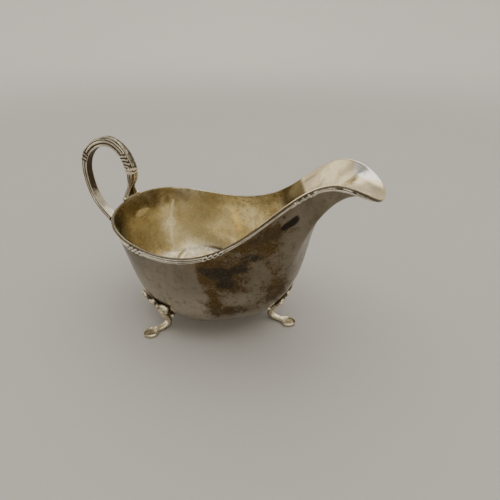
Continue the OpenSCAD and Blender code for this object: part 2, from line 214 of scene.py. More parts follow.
# ---------------------------------------------------------------- meshes
def make(name, points, faces, nodes, materials, masks, kinds=None, sharp=None):
    """A piece from points in mm. masks are values on its points, kinds its faces' materials.

    Its faces are turned round where they would look inward.
    """
    points = np.asarray(points, float).reshape(-1, 3)
    faces = [np.asarray(f).reshape(-1, f.shape[-1]) for f in faces]
    size = np.concatenate([np.full(len(f), f.shape[1]) for f in faces])
    loops = np.concatenate([f.ravel() for f in faces])
    tri = np.concatenate([f[:, [0, 1, 2]] for f in faces] + [f[:, [0, 2, 3]] for f in faces
                                                           if f.shape[1] == 4])
    a, b, c = (points[tri[:, k]] for k in range(3))
    if (a * np.cross(b, c)).sum() < 0:
        faces = [f[:, ::-1] for f in faces]
        loops = np.concatenate([f.ravel() for f in faces])
    mesh = bpy.data.meshes.new(name)
    mesh.vertices.add(len(points))
    mesh.vertices.foreach_set("co", (points * MM).ravel())
    mesh.loops.add(len(loops))
    mesh.loops.foreach_set("vertex_index", loops)
    mesh.polygons.add(len(size))
    mesh.polygons.foreach_set("loop_start", np.concatenate([[0], np.cumsum(size)[:-1]]))
    mesh.polygons.foreach_set("loop_total", size)
    if kinds is not None:
        mesh.polygons.foreach_set("material_index", np.asarray(kinds, np.int32))
    mesh.update(calc_edges=True)
    mesh.polygons.foreach_set("use_smooth", np.ones(len(size), bool))
    if sharp:
        mesh.set_sharp_from_angle(angle=math.radians(sharp))
    for label, values in masks.items():
        mesh.attributes.new(label, "FLOAT", "POINT").data.foreach_set(
            "value", np.asarray(values, np.float32).ravel())
    for m in materials:
        mesh.materials.append(m)
    obj = bpy.data.objects.new(name, mesh)
    bpy.context.scene.collection.objects.link(obj)
    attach(obj, "root")
    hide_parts(*nodes)
    return obj


def wall_faces(rings, n):
    """Quads between rings of n points each."""
    i = np.arange(rings - 1)[:, None]
    j = np.arange(n)[None, :]
    a, b = i * n + j, i * n + (j + 1) % n
    c, d = b + n, a + n
    return np.stack([a, b, c, d], -1).reshape(-1, 4)


def end_fans(rings, n):
    """Triangles that close the first and last ring, whose middles are the two points after them."""
    j = np.arange(n)
    first = np.stack([np.full(n, rings * n), (j + 1) % n, j], -1)
    last = np.stack([np.full(n, rings * n + 1), (rings - 1) * n + j, (rings - 1) * n + (j + 1) % n], -1)
    return [first, last]


def tube(rings):
    """Points and faces of a solid through rings (m, n, 3), with a fan at each end."""
    rings = np.asarray(rings, float)
    m, n = rings.shape[:2]
    points = np.concatenate([rings.reshape(-1, 3), [rings[0].mean(0), rings[-1].mean(0)]])
    return points, [wall_faces(m, n)] + end_fans(m, n)


def spread(values, rings):
    """Mask values (m, n) with two more for the ends' middles."""
    return np.concatenate([values.ravel(), [values[0].mean(), values[-1].mean()]])


def join(parts):
    """Several (points, faces, masks) as one."""
    points, faces, masks, start = [], {}, {}, 0
    for p, fs, ms in parts:
        points.append(p)
        for f in fs:
            faces.setdefault(f.shape[1], []).append(f + start)
        for label, values in ms.items():
            masks.setdefault(label, []).append(values)
        start += len(p)
    return (np.concatenate(points), [np.concatenate(f) for f in faces.values()],
            {k: np.concatenate(v) for k, v in masks.items()})


def bead(middle, radius, flat=(1, 1, 1)):
    """A small rounded bead with its own share of the radius along x, y and z."""
    up = np.linspace(0.02, math.pi - 0.02, 11)
    turn = np.linspace(0, 2 * math.pi, 16, endpoint=False)
    local = np.stack([np.outer(np.sin(up), np.cos(turn)), np.outer(np.sin(up), np.sin(turn)),
                      np.outer(np.cos(up), np.ones(len(turn)))], -1) * radius * np.array(flat)
    p, f = tube(local + middle)
    return p, f, {"hollow": np.zeros(len(p))}


# ---------------------------------------------------------------- materials
class Nodes:
    """A short way to write a material's node tree."""

    def __init__(self, name):
        self.mat = bpy.data.materials.new(name)
        self.mat.use_nodes = True
        self.tree = self.mat.node_tree
        self.tree.nodes.clear()

    def add(self, kind, **settings):
        node = self.tree.nodes.new(kind)
        inputs = settings.pop("inputs", {})
        for key, value in settings.items():
            setattr(node, key, value)
        for key, value in inputs.items():
            self.set(node.inputs[key], value)
        return node

    def set(self, socket, value):
        if isinstance(value, bpy.types.NodeSocket):
            self.tree.links.new(value, socket)
        else:
            socket.default_value = value

    def place(self):
        return self.add("ShaderNodeTexCoord").outputs["Object"]

    def scaled(self, vector, scale):
        return self.add("ShaderNodeMapping", inputs={"Vector": vector, "Scale": scale}).outputs[0]

    def noise(self, vector, scale, detail=4.0, rough=0.55, twist=0.0):
        return self.add("ShaderNodeTexNoise", inputs={
            "Vector": vector, "Scale": scale, "Detail": detail, "Roughness": rough,
            "Distortion": twist}).outputs["Fac"]

    def mask(self, name):
        return self.add("ShaderNodeAttribute", attribute_name=name).outputs["Fac"]

    def step(self, value, low, high, to_low=0.0, to_high=1.0):
        return self.add("ShaderNodeMapRange", interpolation_type="SMOOTHSTEP", inputs={
            "Value": value, "From Min": low, "From Max": high,
            "To Min": to_low, "To Max": to_high}).outputs[0]

    def math(self, kind, a, b):
        return self.add("ShaderNodeMath", operation=kind, inputs={0: a, 1: b}).outputs[0]

    def plus(self, a, b):
        return self.math("ADD", a, b)

    def times(self, a, b):
        return self.math("MULTIPLY", a, b)

    def swing(self, noise, amount):
        """A noise value made to swing about 0."""
        return self.times(self.math("SUBTRACT", noise, 0.5), amount)

    def blend(self, how, a, b):
        node = self.add("ShaderNodeMix", data_type="RGBA")
        self.set(node.inputs[0], how)
        self.set(node.inputs[6], a)
        self.set(node.inputs[7], b)
        return node.outputs[2]

    def bump(self, height, strength, distance):
        return self.add("ShaderNodeBump", inputs={
            "Height": height, "Strength": strength, "Distance": distance}).outputs[0]

    def finish(self, colour, rough, normal=None, metal=1.0):
        shader = self.add("ShaderNodeBsdfPrincipled", inputs={
            "Base Color": colour, "Roughness": rough, "Metallic": metal})
        if normal is not None:
            self.set(shader.inputs["Normal"], normal)
        end = self.add("ShaderNodeOutputMaterial")
        self.tree.links.new(shader.outputs[0], end.inputs[0])
        return self.mat


def rgb(r, g, b):
    return (r, g, b, 1.0)


def outside_silver():
    """Outside of the bowl: grey tarnished silver with a mottled brown-black stain on the right."""
    grey, dull, low_light_grey = rgb(0.25, 0.218, 0.17), rgb(0.18, 0.155, 0.115), rgb(0.46, 0.41, 0.325)
    speck, run_and_sheen, pit = rgb(0.115, 0.094, 0.066), rgb(0.30, 0.27, 0.22), rgb(0.06, 0.05, 0.04)
    olive, film = rgb(0.20, 0.15, 0.075), rgb(0.165, 0.125, 0.068)
    warm, cool, burnt = rgb(0.128, 0.080, 0.029), rgb(0.088, 0.060, 0.028), rgb(0.060, 0.038, 0.018)
    soot, ash, pitch = rgb(0.048, 0.038, 0.026), rgb(0.088, 0.082, 0.066), rgb(0.024, 0.016, 0.012)
    k = Nodes("bowl_outside_silver")
    p = k.place()
    cloud = k.noise(p, 38, 5, 0.6, 0.6)
    fine = k.noise(p, 230, 8, 0.7, 0.4)
    grain = k.noise(p, 900, 5, 0.65, 0.3)
    streak = k.noise(k.scaled(p, (220, 220, 26)), 1.0, 4, 0.6, 0.3)
    # plain metal, made paler low down by painted light, with specks, runs and pits
    silver = k.blend(k.step(cloud, 0.36, 0.66), grey, dull)
    silver = k.blend(k.times(k.mask("painted_low_light"), 0.8), silver, low_light_grey)
    silver = k.blend(k.times(k.step(fine, 0.5, 0.72), 0.8), silver, speck)
    silver = k.blend(k.times(k.step(streak, 0.5, 0.7), 0.3), silver, run_and_sheen)
    pits = k.times(k.step(grain, 0.60, 0.68), k.step(cloud, 0.45, 0.6))
    silver = k.blend(k.times(pits, 0.7), silver, pit)
    silver = k.blend(k.times(k.mask("olive"), k.step(cloud, 0.3, 0.55)), silver, olive)
    # the stain: a thin film, then brown with ragged edges, then black
    mottle = k.plus(k.times(fine, 0.5), k.times(grain, 0.5))
    ragged = k.swing(mottle, 3.0)
    silver = k.blend(k.step(k.mask("stain"), 0.0, 0.5, 0.0, 0.5), silver, film)
    cover = k.step(k.plus(k.mask("stain"), ragged), 0.3, 0.8)
    brown = k.blend(k.step(cloud, 0.42, 0.6), warm, cool)
    brown = k.blend(k.step(grain, 0.5, 0.66), brown, burnt)
    colour = k.blend(k.times(cover, 0.93), silver, brown)
    black = k.step(k.plus(k.mask("black"), k.times(ragged, 0.8)), 0.3, 0.68)
    dark = k.blend(k.step(grain, 0.5, 0.62), soot, ash)
    dark = k.blend(k.step(k.mask("black"), 0.85, 1.15), dark, pitch)
    colour = k.blend(k.times(black, 0.95), colour, dark)
    rough = k.plus(k.step(fine, 0.3, 0.8, 0.27, 0.42), k.times(cover, 0.2))
    lumps = k.plus(k.times(fine, 0.6), grain)
    return k.finish(colour, rough, k.bump(lumps, 0.12, 0.0002))


def inside_silver():
    """Inside of the bowl: golden tarnished silver, paler in blotches left by sauce, with painted olive
    shade, painted light, painted reflections and a painted glint.
    """
    golden, amber, honey = rgb(0.79, 0.725, 0.53), rgb(0.70, 0.62, 0.42), rgb(0.58, 0.49, 0.33)
    run_and_sheen, olive, cream = rgb(0.82, 0.77, 0.65), rgb(0.165, 0.122, 0.046), rgb(0.93, 0.87, 0.70)
    straw, dull_straw, flame = rgb(0.85, 0.74, 0.49), rgb(0.76, 0.65, 0.41), rgb(1.0, 0.80, 0.42)
    white, grey = rgb(0.90, 0.87, 0.84), rgb(0.62, 0.59, 0.57)
    k = Nodes("bowl_inside_silver")
    p = k.place()
    cloud = k.noise(p, 42, 5, 0.6, 0.8)
    fine = k.noise(p, 210, 6, 0.6, 0.4)
    grain = k.noise(p, 1300, 3, 0.6)
    streak = k.noise(k.scaled(p, (160, 160, 18)), 1.0, 4, 0.6, 0.2)
    gold = k.blend(k.step(cloud, 0.36, 0.64), golden, amber)
    gold = k.blend(k.step(fine, 0.5, 0.75), gold, honey)
    gold = k.blend(k.times(k.step(streak, 0.5, 0.68), 0.55), gold, run_and_sheen)
    shade = k.plus(k.mask("shade"), k.swing(fine, 0.5))
    # painted shade: the shade mask turns the gold a dark olive
    gold = k.blend(k.times(k.step(shade, 0.2, 0.9), 0.95), gold, olive)
    # pale: blotches, painted light and a painted highlight streak
    pale = k.step(k.plus(k.mask("pale"), k.swing(fine, 1.3)), 0.35, 0.6)
    gold = k.blend(k.times(pale, 0.85), gold, cream)
    # straw on the lip, cut off across the throat along a painted reflection edge
    gold = k.blend(k.mask("straw"), gold, k.blend(k.step(fine, 0.45, 0.8), straw, dull_straw))
    # painted glint: a bright golden highlight
    gold = k.blend(k.mask("glint"), gold, flame)
    # untarnished silver round the pool, and a painted reflection on the lip
    bare_and_reflection = k.step(k.plus(k.mask("bare_and_reflection"), k.swing(fine, 0.35)), 0.42, 0.58)
    gold = k.blend(k.times(bare_and_reflection, 0.9), gold, k.blend(k.step(fine, 0.5, 0.72), white, grey))
    rough = k.step(fine, 0.3, 0.8, 0.2, 0.36)
    return k.finish(gold, rough, k.bump(k.plus(fine, grain), 0.08, 0.00015))


def cast_silver(name, bright, dark):
    """Cast silver with wear: bright on the high places and dark in the hollows, and darker where painted
    shade is set in the mask.
    """
    k = Nodes(name)
    p = k.place()
    cloud = k.noise(p, 90, 5, 0.6, 0.5)
    fine = k.noise(p, 520, 5, 0.62)
    grain = k.noise(p, 2200, 3, 0.6)
    dull = rgb(*(mix(b, d, 0.4) for b, d in zip(bright[:3], dark[:3])))
    silver = k.blend(k.step(cloud, 0.38, 0.66), bright, dull)
    # the mask darkens tarnished hollows, and also holds painted shade under the shells and legs and on the
    # handle's leaf
    deep = k.plus(k.mask("hollow"), k.swing(fine, 0.7))
    tarnish_and_shade = k.step(deep, 0.25, 0.75)
    colour = k.blend(tarnish_and_shade, silver, dark)
    rough = k.plus(k.step(fine, 0.3, 0.8, 0.18, 0.34), k.times(tarnish_and_shade, 0.22))
    return k.finish(colour, rough, k.bump(k.plus(fine, grain), 0.1, 0.00012))


# ---------------------------------------------------------------- bowl
OUT_ROWS, RIM_COUNT, ROLL_COUNT = 112, 210, 7
ROLL_OUTSIDE = 2  # rows of the rolled edge that look like the outside
DENTS = ((34, 5, 0.10), (15, 9, 0.035))  # hammer marks: grain and seed of the noise, and depth in mm

# places of stain and of clean or pale metal, of which the last two pale ones are painted light: middle and
# size along x, y and z in mm, and strength
BLACK_SPOTS = (((28.6, -42.8, 60), (10, 12, 6.5), 1), ((21, -45.8, 61.5), (6, 12, 4), 0.85),
               ((37, -38, 63), (6, 12, 4.5), 0.9), ((29.5, -40.7, 53), (6.5, 12, 6), 0.9),
               ((43, -35.5, 69.5), (6.5, 12, 3.5), 0.85))
BROWN_SPOTS = (((43, -38, 78), (10, 12, 4.5), 1), ((54.6, -29.5, 85.5), (8, 12, 5), 1),
               ((50, -30, 74), (6, 12, 6), 0.7), ((56, -18.5, 43), (9, 14, 15), 0.75),
               ((30, -36, 28.5), (18, 14, 6), 0.8), ((20, -43, 38), (8, 12, 10), 0.85),
               ((24, -45, 58), (11, 12, 15), 0.8), ((34, -39, 57), (13, 12, 14), 0.7))
CLEAN_SPOTS = (((44, -32, 55), (9, 14, 9), 1), ((36, -35, 40), (13, 12, 6), 1))
PALE_SPOTS = (((-61, 4, 60.5), (5, 8, 2.8), 0.95), ((-57, 16, 52.5), (5, 7, 3.2), 0.95),
              ((-51, 25, 45), (4, 5, 4.5), 0.95), ((-54, 18, 43), (3, 4, 4.5), 0.9),
              ((-22, 43, 47), (26, 14, 16), 0.33), ((-36, 30, 26), (20, 16, 12), 0.4))
# strokes of stain, a painted dark reflection and a painted glint: start, end and reach to each side in mm
BROWN_STROKE = ((47, -34, 80), (60.5, -26, 86.5), 4.2)
SMEAR = ((44, -37, 79), (58, -27, 86), 3.0)
SMUDGE = ((57.8, -26.8, 87.4), (63.0, -24.7, 92.0))
# painted dark reflection along the rim on the left of the spout
LIP_DARK_REFLECTION = ((51.5, 34.3, 90.0), (59.2, 29.9, 97.0), 1.3)
# painted glint: a bright golden highlight on the left wall inside, with a short branch
GLINT, GLINT_BRANCH = ((-7, 46.5, 52.5), (-2, 45.5, 39.5), 2.4), ((-5, 46.5, 48), (2, 46.5, 44), 1.0)
# a small dark ring in the stain, and the pool at the bottom inside, where shade is painted and untarnished
# rings lie
RING_AT, RING_RADIUS = (48.6, -30.1, 67.0), 2.6
POOL_AT, POOL_SIZE = (-18, 22, 16), (24, 17, 12)
FADE = 1.35


def spot(p, middle, size):
    """1 round the middle, falling to 0 at FADE times the size given along x, y and z, in mm."""
    d = (p - np.array(middle)) / np.array(size)
    return ease(FADE - np.linalg.norm(d, axis=-1))


def spots(p, rows):
    """The strongest of several spots."""
    return np.maximum.reduce([spot(p, middle, size) * strength for middle, size, strength in rows])


def stroke(p, start, end, wide):
    """1 along the line from start to end, falling to 0 at FADE times wide from it, in mm."""
    a, b = np.array(start, float), np.array(end, float)
    u = np.clip((p - a) @ (b - a) / ((b - a) @ (b - a)), 0, 1)
    return ease(FADE - np.linalg.norm(p - a - u[:, None] * (b - a), axis=1) / wide)


def outside_masks(points, v, ragged, small):
    """Masks of the outside: the stain on the right, its black middle, olive film and painted light low
    down.
    """
    x, y, z = points.T
    # the stain lies on the right, from an edge that is sharp at the top and soft lower down
    right = ease((-y - 4) / 14)
    low = ease((62 - z) / 26)
    rear_edge = ease((x - 14.2 + (0.5 + 2 * low) * ragged) / mix(1.6, 9.0, low))
    field = (rear_edge * ease((66 - x + 3 * ragged) / 12)
             * ease((z - 17 - 3 * ragged) / 12) * ease((v - 0.26) / 0.2))
    core = spots(points, BLACK_SPOTS)
    brown = np.maximum(spots(points, BROWN_SPOTS), stroke(points, *BROWN_STROKE))
    clean = spots(points, CLEAN_SPOTS)
    stain = right * field * np.clip(0.46 + 0.45 * brown + 0.2 * core - 0.24 * clean + 0.06 * ragged, 0, 1)
    smudge = stroke(points, *SMUDGE, 2.5 + 0.6 * small)
    from_ring = np.linalg.norm(points - np.array(RING_AT), axis=1)
    ring = 0.7 * bump(from_ring - RING_RADIUS, 1.0) * (from_ring < 6)
    black = right * np.maximum.reduce([
        1.5 * smudge, 0.78 * core + 0.12 * small, ring, 0.34 * stroke(points, *SMEAR)])
    under_rim = ease((v - 0.9) / 0.05) * ease((x - 5) / 12) * ease((70 - x) / 10)
    olive = np.clip(0.85 * right * under_rim + 0.3 * ease((30 - z) / 18) + 0.25 * ease((x - 60) / 20), 0, 1)
    # painted light: the metal is made paler low down, less so where it is stained
    painted_low_light = ease((58 - z) / 30) * (1 - 0.55 * stain)
    return {"stain": stain, "black": black, "olive": olive, "painted_low_light": painted_low_light}


def inside_masks(points, t, v, ragged, small):
    """Masks of the inside: painted olive shade at the back, under the rim, in the throat and over the
    bottom, straw on the lip, pale blotches, and painted light, reflections and glint.
    """
    x, y, z = points.T
    # throat runs from below 0 in the spout to above 0 on the lip
    throat = x + 0.7 * np.abs(y) - 73.4
    # painted olive shade: darker at the back and under the rim
    at_back = 0.47 * ease((-x - 30) / 32) * ease((z - 38) / 26)
    under_rim = (0.36 + 0.2 * ease((x + 20) / 30)) * ease((v - 0.84) / 0.12) * ease((50 - x) / 20)
    shade = np.clip(at_back + under_rim + 0.12 * ragged, 0, 1)
    # painted shade in the throat, up to a sharp painted reflection edge
    shade = np.maximum(shade, 1.05 * ease((throat + 24) / 20) * ease((z - 60) / 14))
    # painted shade over the bottom, with a darker ring at the pool's edge
    pool = np.linalg.norm((points - np.array(POOL_AT)) / np.array(POOL_SIZE), axis=1)
    shade = np.maximum(shade, (0.6 + 0.4 * bump(pool - 1.08, 0.07)) * ease((27 - z) / 7))
    # straw on the lip past that painted reflection edge, taken out along a painted dark reflection by the
    # rim
    straw = ease(throat / 1.4 + 0.5) * (1 - 0.85 * stroke(points, *LIP_DARK_REFLECTION))
    # painted highlight: a pale streak down the left wall near the back
    run_and_sheen = bump(t - 0.345 + 0.16 * (0.95 - v), 0.035) * ease((0.99 - v) / 0.1) * ease((v - 0.35) / 0.2)
    pale = np.maximum(spots(points, PALE_SPOTS), run_and_sheen * 0.72)
    # painted glint on the left wall inside
    glint = np.maximum(stroke(points, *GLINT), 0.6 * stroke(points, *GLINT_BRANCH))
    # untarnished silver round the pool, and a painted reflection on the lip past a sharp edge on its left
    lip_edge = np.maximum(10.9, 17.7 - 0.76 * (x - 81.7))
    lip_reflection = ease((x - 81.4 + 0.12 * small) / 0.9) * ease((y - lip_edge + 0.2 * small) / 0.9)
    bare_and_reflection = np.maximum(0.52 * bump(pool - 0.95, 0.14) * ease((26 - z) / 6) + 0.1 * small, lip_reflection)
    return {"shade": shade, "straw": straw, "pale": pale, "bare_and_reflection": bare_and_reflection, "glint": glint}


def bowl():
    """Raised sheet with slight hammer marks, a rolled edge and its own masks of stain, tarnished places,
    painted shade, painted light, painted reflections and a painted glint.
    """
    ts = even_ts(RIM_COUNT)
    n = len(ts)
    vs = np.linspace(0, 1, OUT_ROWS + 1)[1:] ** 0.8
    T, V = np.meshgrid(ts, vs)
    face, normal = skin(T, V), out(T, V)
    dents = sum(waves(face, size, seed) * deep for size, seed, deep in DENTS)
    dents = dents * ease((0.97 - V) / 0.1)
    outer = face + normal * dents[..., None]
    inner = outer - normal * SHEET
    lip, way = face[-1], unit(up_skin(ts, np.ones(n)))
    rolled = np.stack([lip - normal[-1] * SHEET / 2 * (1 - math.cos(a)) + way * SHEET * 0.45 * math.sin(a)
                       for a in np.linspace(0, math.pi, ROLL_COUNT)[1:-1]])
    rings = np.concatenate([outer, rolled, inner[::-1]])
    points = np.concatenate([rings.reshape(-1, 3), [BOTTOM, BOTTOM + [0, 0, SHEET]]])
    wall = wall_faces(len(rings), n)
    row = wall[:, 0] // n
    kinds = np.concatenate([(row >= len(vs) + ROLL_OUTSIDE).astype(int), np.zeros(n, int), np.ones(n, int)])
    t = np.concatenate([T.ravel(), np.tile(ts, len(rolled)), T[::-1].ravel(), [0, 0]])
    v = np.concatenate([V.ravel(), np.ones(n * len(rolled)), V[::-1].ravel(), [0, 0]])
    ragged, small = rough_waves(points, 14, 21), rough_waves(points, 5, 33)
    masks = outside_masks(points, v, ragged, small) | inside_masks(points, t, v, ragged, small)
    return make("bowl_sheet", points, [wall] + end_fans(len(rings), n), ["bowl"],
                [outside_silver(), inside_silver()], masks, kinds)


# ---------------------------------------------------------------- rim border
TIE_AT = (0.70, 1.22, 1.76)  # places of the ties, as t along the rim
TIE_LONG, TIE_HIGH = 13.0, 0.62
BORDER_STEP = 0.32
NICKS = ((1.98, 3.2), (2.21, 1.8))  # dark chips in the right border: t and half their length
REEDS = ((-0.22, 0.95, 1.15), (0.98, 1.95, 1.4), (1.98, 2.9, 1.05))  # top, low side and how far out
REED_ROOT = 0.5


def border_profile():
    """Section of the border as (out, down), three reeds with the first over the sheet's edge."""
    pts = [(SOLDER, 0.15), (SOLDER, -0.12)]
    for top, low, far in REEDS:
        for a in np.linspace(0, 1, 9):
            bulge = math.sin(math.pi * a) ** 0.6
            pts.append((REED_ROOT + (far - REED_ROOT) * bulge, mix(top, low, a)))
    pts += [(0.4, 2.95), (SOLDER, 2.9), (SOLDER, 1.5)]
    return np.array(pts)


def border(side, name, node, material):
    """Reeded border along half of the rim, with crossed ribbon ties.

    x is the length along the rim, and o and d are how far the section lies out and down.
    """
    far = np.linspace(0, rim_length(3.0), int(rim_length(3.0) / BORDER_STEP))
    ts = np.interp(far, rim_length(FINE_TS), FINE_TS)
    p, n, down = along(RIM, ts), out(ts, np.ones(len(ts))), -unit(up_skin(ts, np.ones(len(ts))))
    o, d = (values[None, :] for values in border_profile().T)
    x = far[:, None]
    proud = o > 0.3
    hollow = np.clip((1.15 - o) / 0.55, 0, 1) * proud + 0 * x
    raised = 0 * hollow
    for t in TIE_AT:
        q = (x - rim_length(t)) / (TIE_LONG / 2)
        inside = ease((1 - np.abs(q)) / 0.16)
        across = (d / BORDER_HIGH) * 2 - 1
        swing = np.sin(q * math.pi * 2.0)
        ribbon = np.maximum(bump(across - 0.8 * swing, 0.52), bump(across + 0.8 * swing, 0.52))
        ends = np.maximum(bump(q - 0.94, 0.1), bump(q + 0.94, 0.1))
        flat = (1.0 - o) * inside * proud * 0.75
        raised += flat + TIE_HIGH * (inside * ribbon + 0.9 * ends) * proud
        hollow = mix(hollow, np.clip(0.8 - 1.1 * np.maximum(ribbon, ends), 0, 1), inside)
    rings = p[:, None] + n[:, None] * (o + raised)[..., None] + down[:, None] * (d + 0 * x)[..., None]
    nicks = np.maximum.reduce([bump(far - rim_length(t), half) for t, half in NICKS])
    hollow = np.maximum(hollow, 1.4 * nicks[:, None] * bump(d - 0.3, 1.0) * (side < 0))
    rings[..., 1] = np.maximum(rings[..., 1], SOLDER / 2) * side
    rings[0, :, 1] = rings[-1, :, 1] = side * SOLDER / 2
    points, faces = tube(rings)
    return make(name, points, faces, [node], [material], {"hollow": spread(hollow, rings)})


# ---------------------------------------------------------------- handle
ACROSS = np.array([0, 1.0, 0])
MIDDLE = np.zeros(3)
SEAT = np.array([-RIM_BACK - BORDER_OUT / 2 + 0.2, 0, RIM_BACK_HIGH + SOLDER])
COLLAR = np.array([-RIM_BACK + ROOT_LEAN, 0, SEAT[2] + ROOT_HIGH])
LOOP_TOP = np.array([-LOOP_TOP_AT, 0, LOOP_HIGH - TOP_THICK / 2])
LOOP_SIDE = np.array([-LOOP_REACH + STRAP_THICK / 2, 0, LOOP_SIDE_HIGH])
END_T, END_V = find(ACROSS, MIDDLE, 0, LOOP_END_HIGH, 0, 0.6)
LOOP_END = skin(END_T, END_V) + out(END_T, END_V) * SOLDER
END_WAY = unit(np.array([0.8, 0, -0.6]))
LOOP_LINE = np.array([
    [COLLAR, COLLAR + [-0.5, 0, 0.53 * (LOOP_TOP[2] - COLLAR[2])],
     LOOP_TOP + [0.53 * (COLLAR[0] - LOOP_TOP[0]), 0, 0], LOOP_TOP],
    [LOOP_TOP, LOOP_TOP - [0.54 * (LOOP_TOP[0] - LOOP_SIDE[0]), 0, 0],
     LOOP_SIDE + [0, 0, 0.57 * (LOOP_TOP[2] - LOOP_SIDE[2])], LOOP_SIDE],
    [LOOP_SIDE, LOOP_SIDE - [0, 0, 0.55 * (LOOP_SIDE[2] - LOOP_END[2])],
     LOOP_END - END_WAY * 0.62 * (LOOP_SIDE[2] - LOOP_END[2]), LOOP_END]])


def loop_at(u):
    """The strap's middle line: u runs from 0 at the collar by 1 at the top to 3 at the wall."""
    k = np.minimum(2, np.floor(u)).astype(int)
    return bezier(LOOP_LINE[k], u - k)


REEDED, SIDE, EDGE, INNER = range(4)  # parts of the strap's section
FINE_US = np.linspace(0, 3, 3001)
STRAP_STEP, STRAP_FIT = 0.3, 14  # length of one ring, and how many rings are shaped to the wall
LOOP_TIES = ((1.66, 4.2), (2.62, 5.0))  # ribbon ties of the strap: u and half their length
LEAF_PAST_TOP, LEAF_WIDE = 3, 1.05  # mm along the strap, and half an angle round it
RIDGE_PITCH = 2.4


def strap_section():
    """Rows round the strap's section: part, x across, y outward, reed (0 in a groove) and angle.

    The outer half is one curve of reeds, and the inner face is flat between two raised edges.
    """
    half = STRAP_WIDE / 2
    a = np.linspace(-math.pi / 2, math.pi / 2, 61)
    reeds = np.abs(np.sin(a * 5.5 + math.pi / 2)) ** 0.9
    outer = list(zip(a * 0 + REEDED, np.sin(a) * half, 0.12 + np.cos(a) ** 0.8 * 0.38, reeds, a))
    side = [(SIDE, half, q, 1 if abs(q + 0.2) > 0.09 else 0.25, 0) for q in np.linspace(0.05, -0.44, 9)]
    edge = [(EDGE, half - 0.12, -0.5, 1, 0), (EDGE, half - 0.38, -0.5, 1, 0)]
    inner = [(INNER, q, -0.455, 1, 0) for q in np.linspace(1, -1, 15) * (half - 0.5)]
    back = [(part, -x, q, reed, angle) for part, x, q, reed, angle in (side + edge)[::-1]]
    return np.array(outer + side + edge + inner + back).T


def strap_relief(s, u_length, part, x, y, reed, angle):
    """How far the strap's surface moves out, and its hollow mask: reeds, leaf, ridges, ties, collar."""
    reeded, side, carved = part == REEDED, part == SIDE, part <= SIDE
    groove = 0.55 * (1 - reed) * carved
    hollow = (1 - reed) * carved * 1.6 + 0 * s
    lift = 0 * hollow

    def press(on, height, dark, smooth=1.0):
        nonlocal lift, groove, hollow
        lift = lift + on * height
        groove = groove * (1 - smooth * on)
        hollow = mix(hollow, dark, on)

    # leaf over the outside, from the collar to just past the top
    q = s / (u_length(1.0) + LEAF_PAST_TOP)
    width = LEAF_WIDE * np.clip(1 - q, 0, 1) ** 0.45 * (1 - 0.12 * np.cos(q * 9))
    width = np.where(q < 1, width, 0)
    leaf = ease((width - np.abs(angle)) / 0.16) * reeded * ease((1 - q) / 0.05)
    vein = bump(angle, 0.10) * 0.28 + 0.16 * bump(np.abs(angle) - width * 0.82, 0.12)
    # painted shade over the leaf, darker along its vein and fading at its edges
    press(leaf, 0.42 - vein * 0.6,
          0.6 + 0.3 * bump(angle, 0.12) - 0.6 * bump(np.abs(angle) - width * 0.84, 0.17))
    hollow = np.maximum(hollow, reeded * 1.1 * bump(np.abs(angle) - width - 0.06, 0.10) * (q < 1))
    # slanted ridges beside the leaf just above the collar
    beside = np.where(reeded, np.clip((np.abs(angle) - 1.0) / 0.15, 0, 1), side * 1.0)
    ridges = ease((s - 2.2) / 1.2) * ease((13.0 - s) / 1.6) * beside
    slant = np.sin((s + 0.4 * y) * 2 * math.pi / RIDGE_PITCH)
    press(ridges, 0.12 + 0.30 * slant, np.clip(0.4 - 0.85 * slant, 0, 1.0), 0.9)
    # ribbon ties between the top and the far side, and near the lower end
    for u, half in LOOP_TIES:
        q = (s - u_length(u)) / half
        around = np.clip(np.where(reeded, angle, np.sign(x) * 1.75), -1.8, 1.8) / 1.8
        swing = 0.85 * np.sin(q * math.pi * 1.5)
        ribbon = np.maximum(bump(around - swing, 0.42), bump(around + swing, 0.42))
        press(ease((1 - np.abs(q)) / 0.2) * carved, 0.1 + 0.5 * ribbon,
              np.clip(0.85 - 1.2 * ribbon, 0, 1))
    # collar band at the very start, then the tarnish of the inner face and of the far strand
    press(bump(s - 1.0, 1.3) * (part != INNER), 0.38, 0.15, 0)
    hollow = np.maximum(hollow, 0.9 * bump(s - 2.7, 0.5) * (part != INNER))
    past_top = s - u_length(1.0)
    hollow = np.where(part == INNER, 0.95 - 0.75 * ease((past_top - 38) / 30), hollow)
    hollow = np.where(part == EDGE, 0.0, hollow)
    return lift - groove, hollow + 0.42 * reeded * ease((past_top - 12) / 14)


